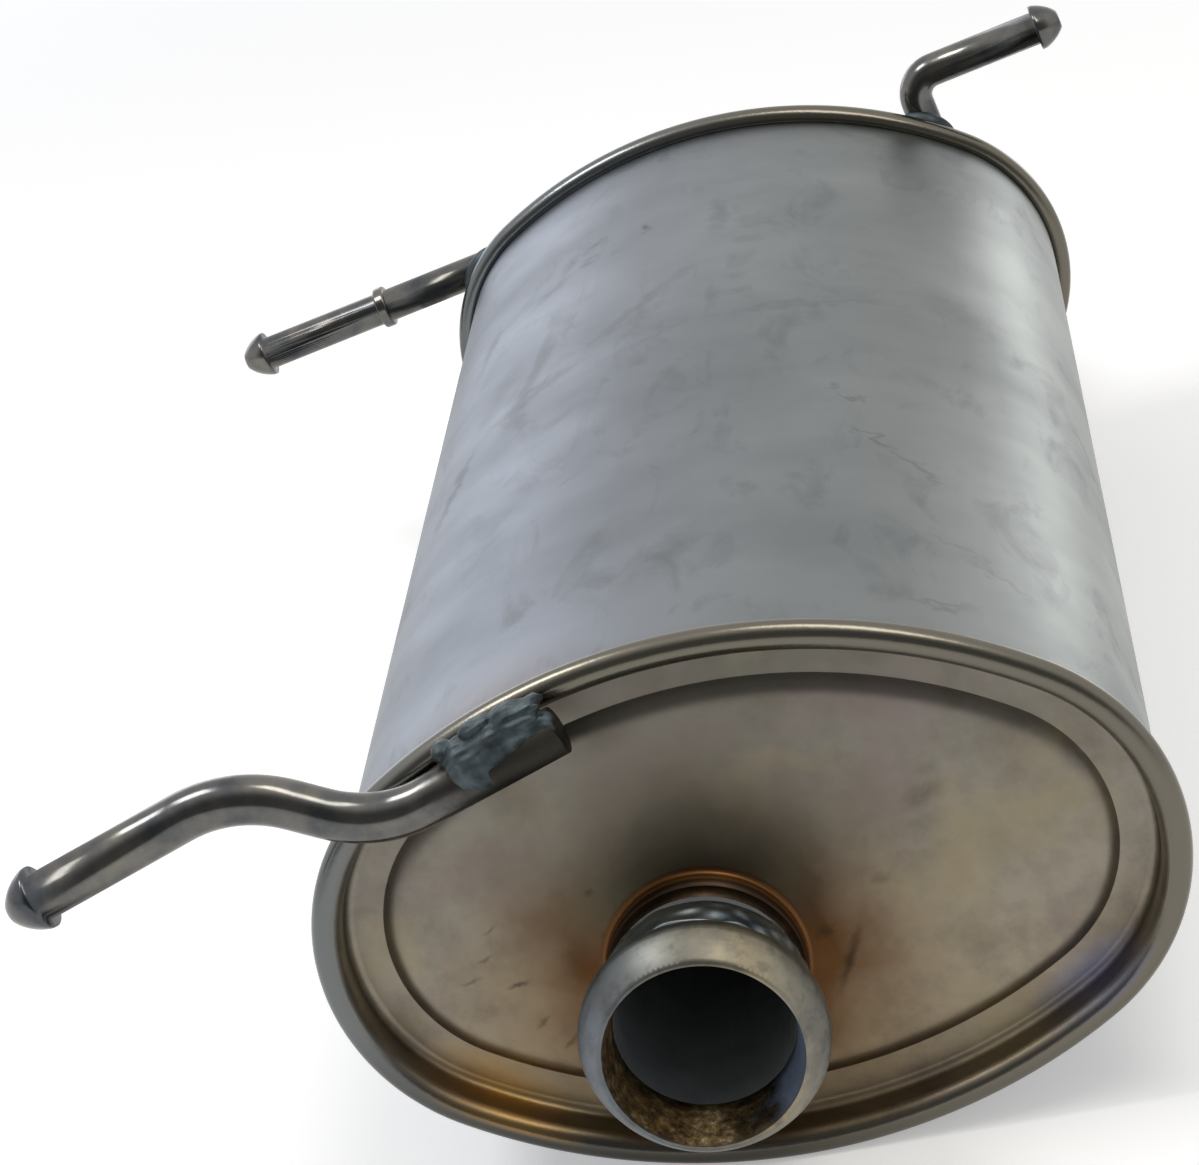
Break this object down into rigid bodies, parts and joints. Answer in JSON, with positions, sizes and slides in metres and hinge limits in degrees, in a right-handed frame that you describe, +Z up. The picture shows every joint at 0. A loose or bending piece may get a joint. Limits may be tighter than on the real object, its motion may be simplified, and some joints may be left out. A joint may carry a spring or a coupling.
{
  "type": "rear muffler",
  "caption": "Oval sheet-steel rear muffler with rolled end-cap seams, a joint ring on its inlet pipe, a down-turned tail pipe and welded hanger rods.",
  "frame": {"origin": "on the inlet pipe's axis, in the middle plane of the front rim's roll", "axes": "+Y along the can from the inlet end to the tail, +Z up, +X to the right seen from the inlet end"},
  "size_m": [0.3231, 0.6302, 0.1667],
  "materials": {
    "shell_sheet": "satin aluminised sheet",
    "cap_sheet": "satin sheet, heat tinted",
    "inner_sheet": "plain sheet",
    "pipe_steel": "plain drawn tube",
    "ring_steel": "turned, satin",
    "rod_steel": "dark drawn rod",
    "weld_metal": "as welded, blued",
    "glass_wool": "matted fibre"
  },
  "bodies": {
    "root": {"shell": "shell_sheet", "shell_seam_weld": "weld_metal", "front_end_cap": "cap_sheet", "rear_end_cap": "cap_sheet", "front_baffle": "inner_sheet", "middle_baffle": "inner_sheet", "rear_baffle": "inner_sheet", "inlet_tube": "pipe_steel", "outlet_tube": "pipe_steel", "transfer_tube": "pipe_steel", "wool_packing": "glass_wool", "inlet_ring": "ring_steel", "inlet_ring_weld": "weld_metal", "inlet_collar_weld": "weld_metal", "tail_pipe": "pipe_steel", "tail_pipe_weld": "weld_metal", "front_hanger_rod": "rod_steel", "front_hanger_weld": "weld_metal", "rear_left_hanger_rod": "rod_steel", "rear_left_rim_weld": "weld_metal", "rear_left_foot_weld": "weld_metal", "rear_right_hanger_rod": "rod_steel", "rear_right_rim_weld": "weld_metal", "rear_right_foot_weld": "weld_metal"}
  },
  "joints": []
}
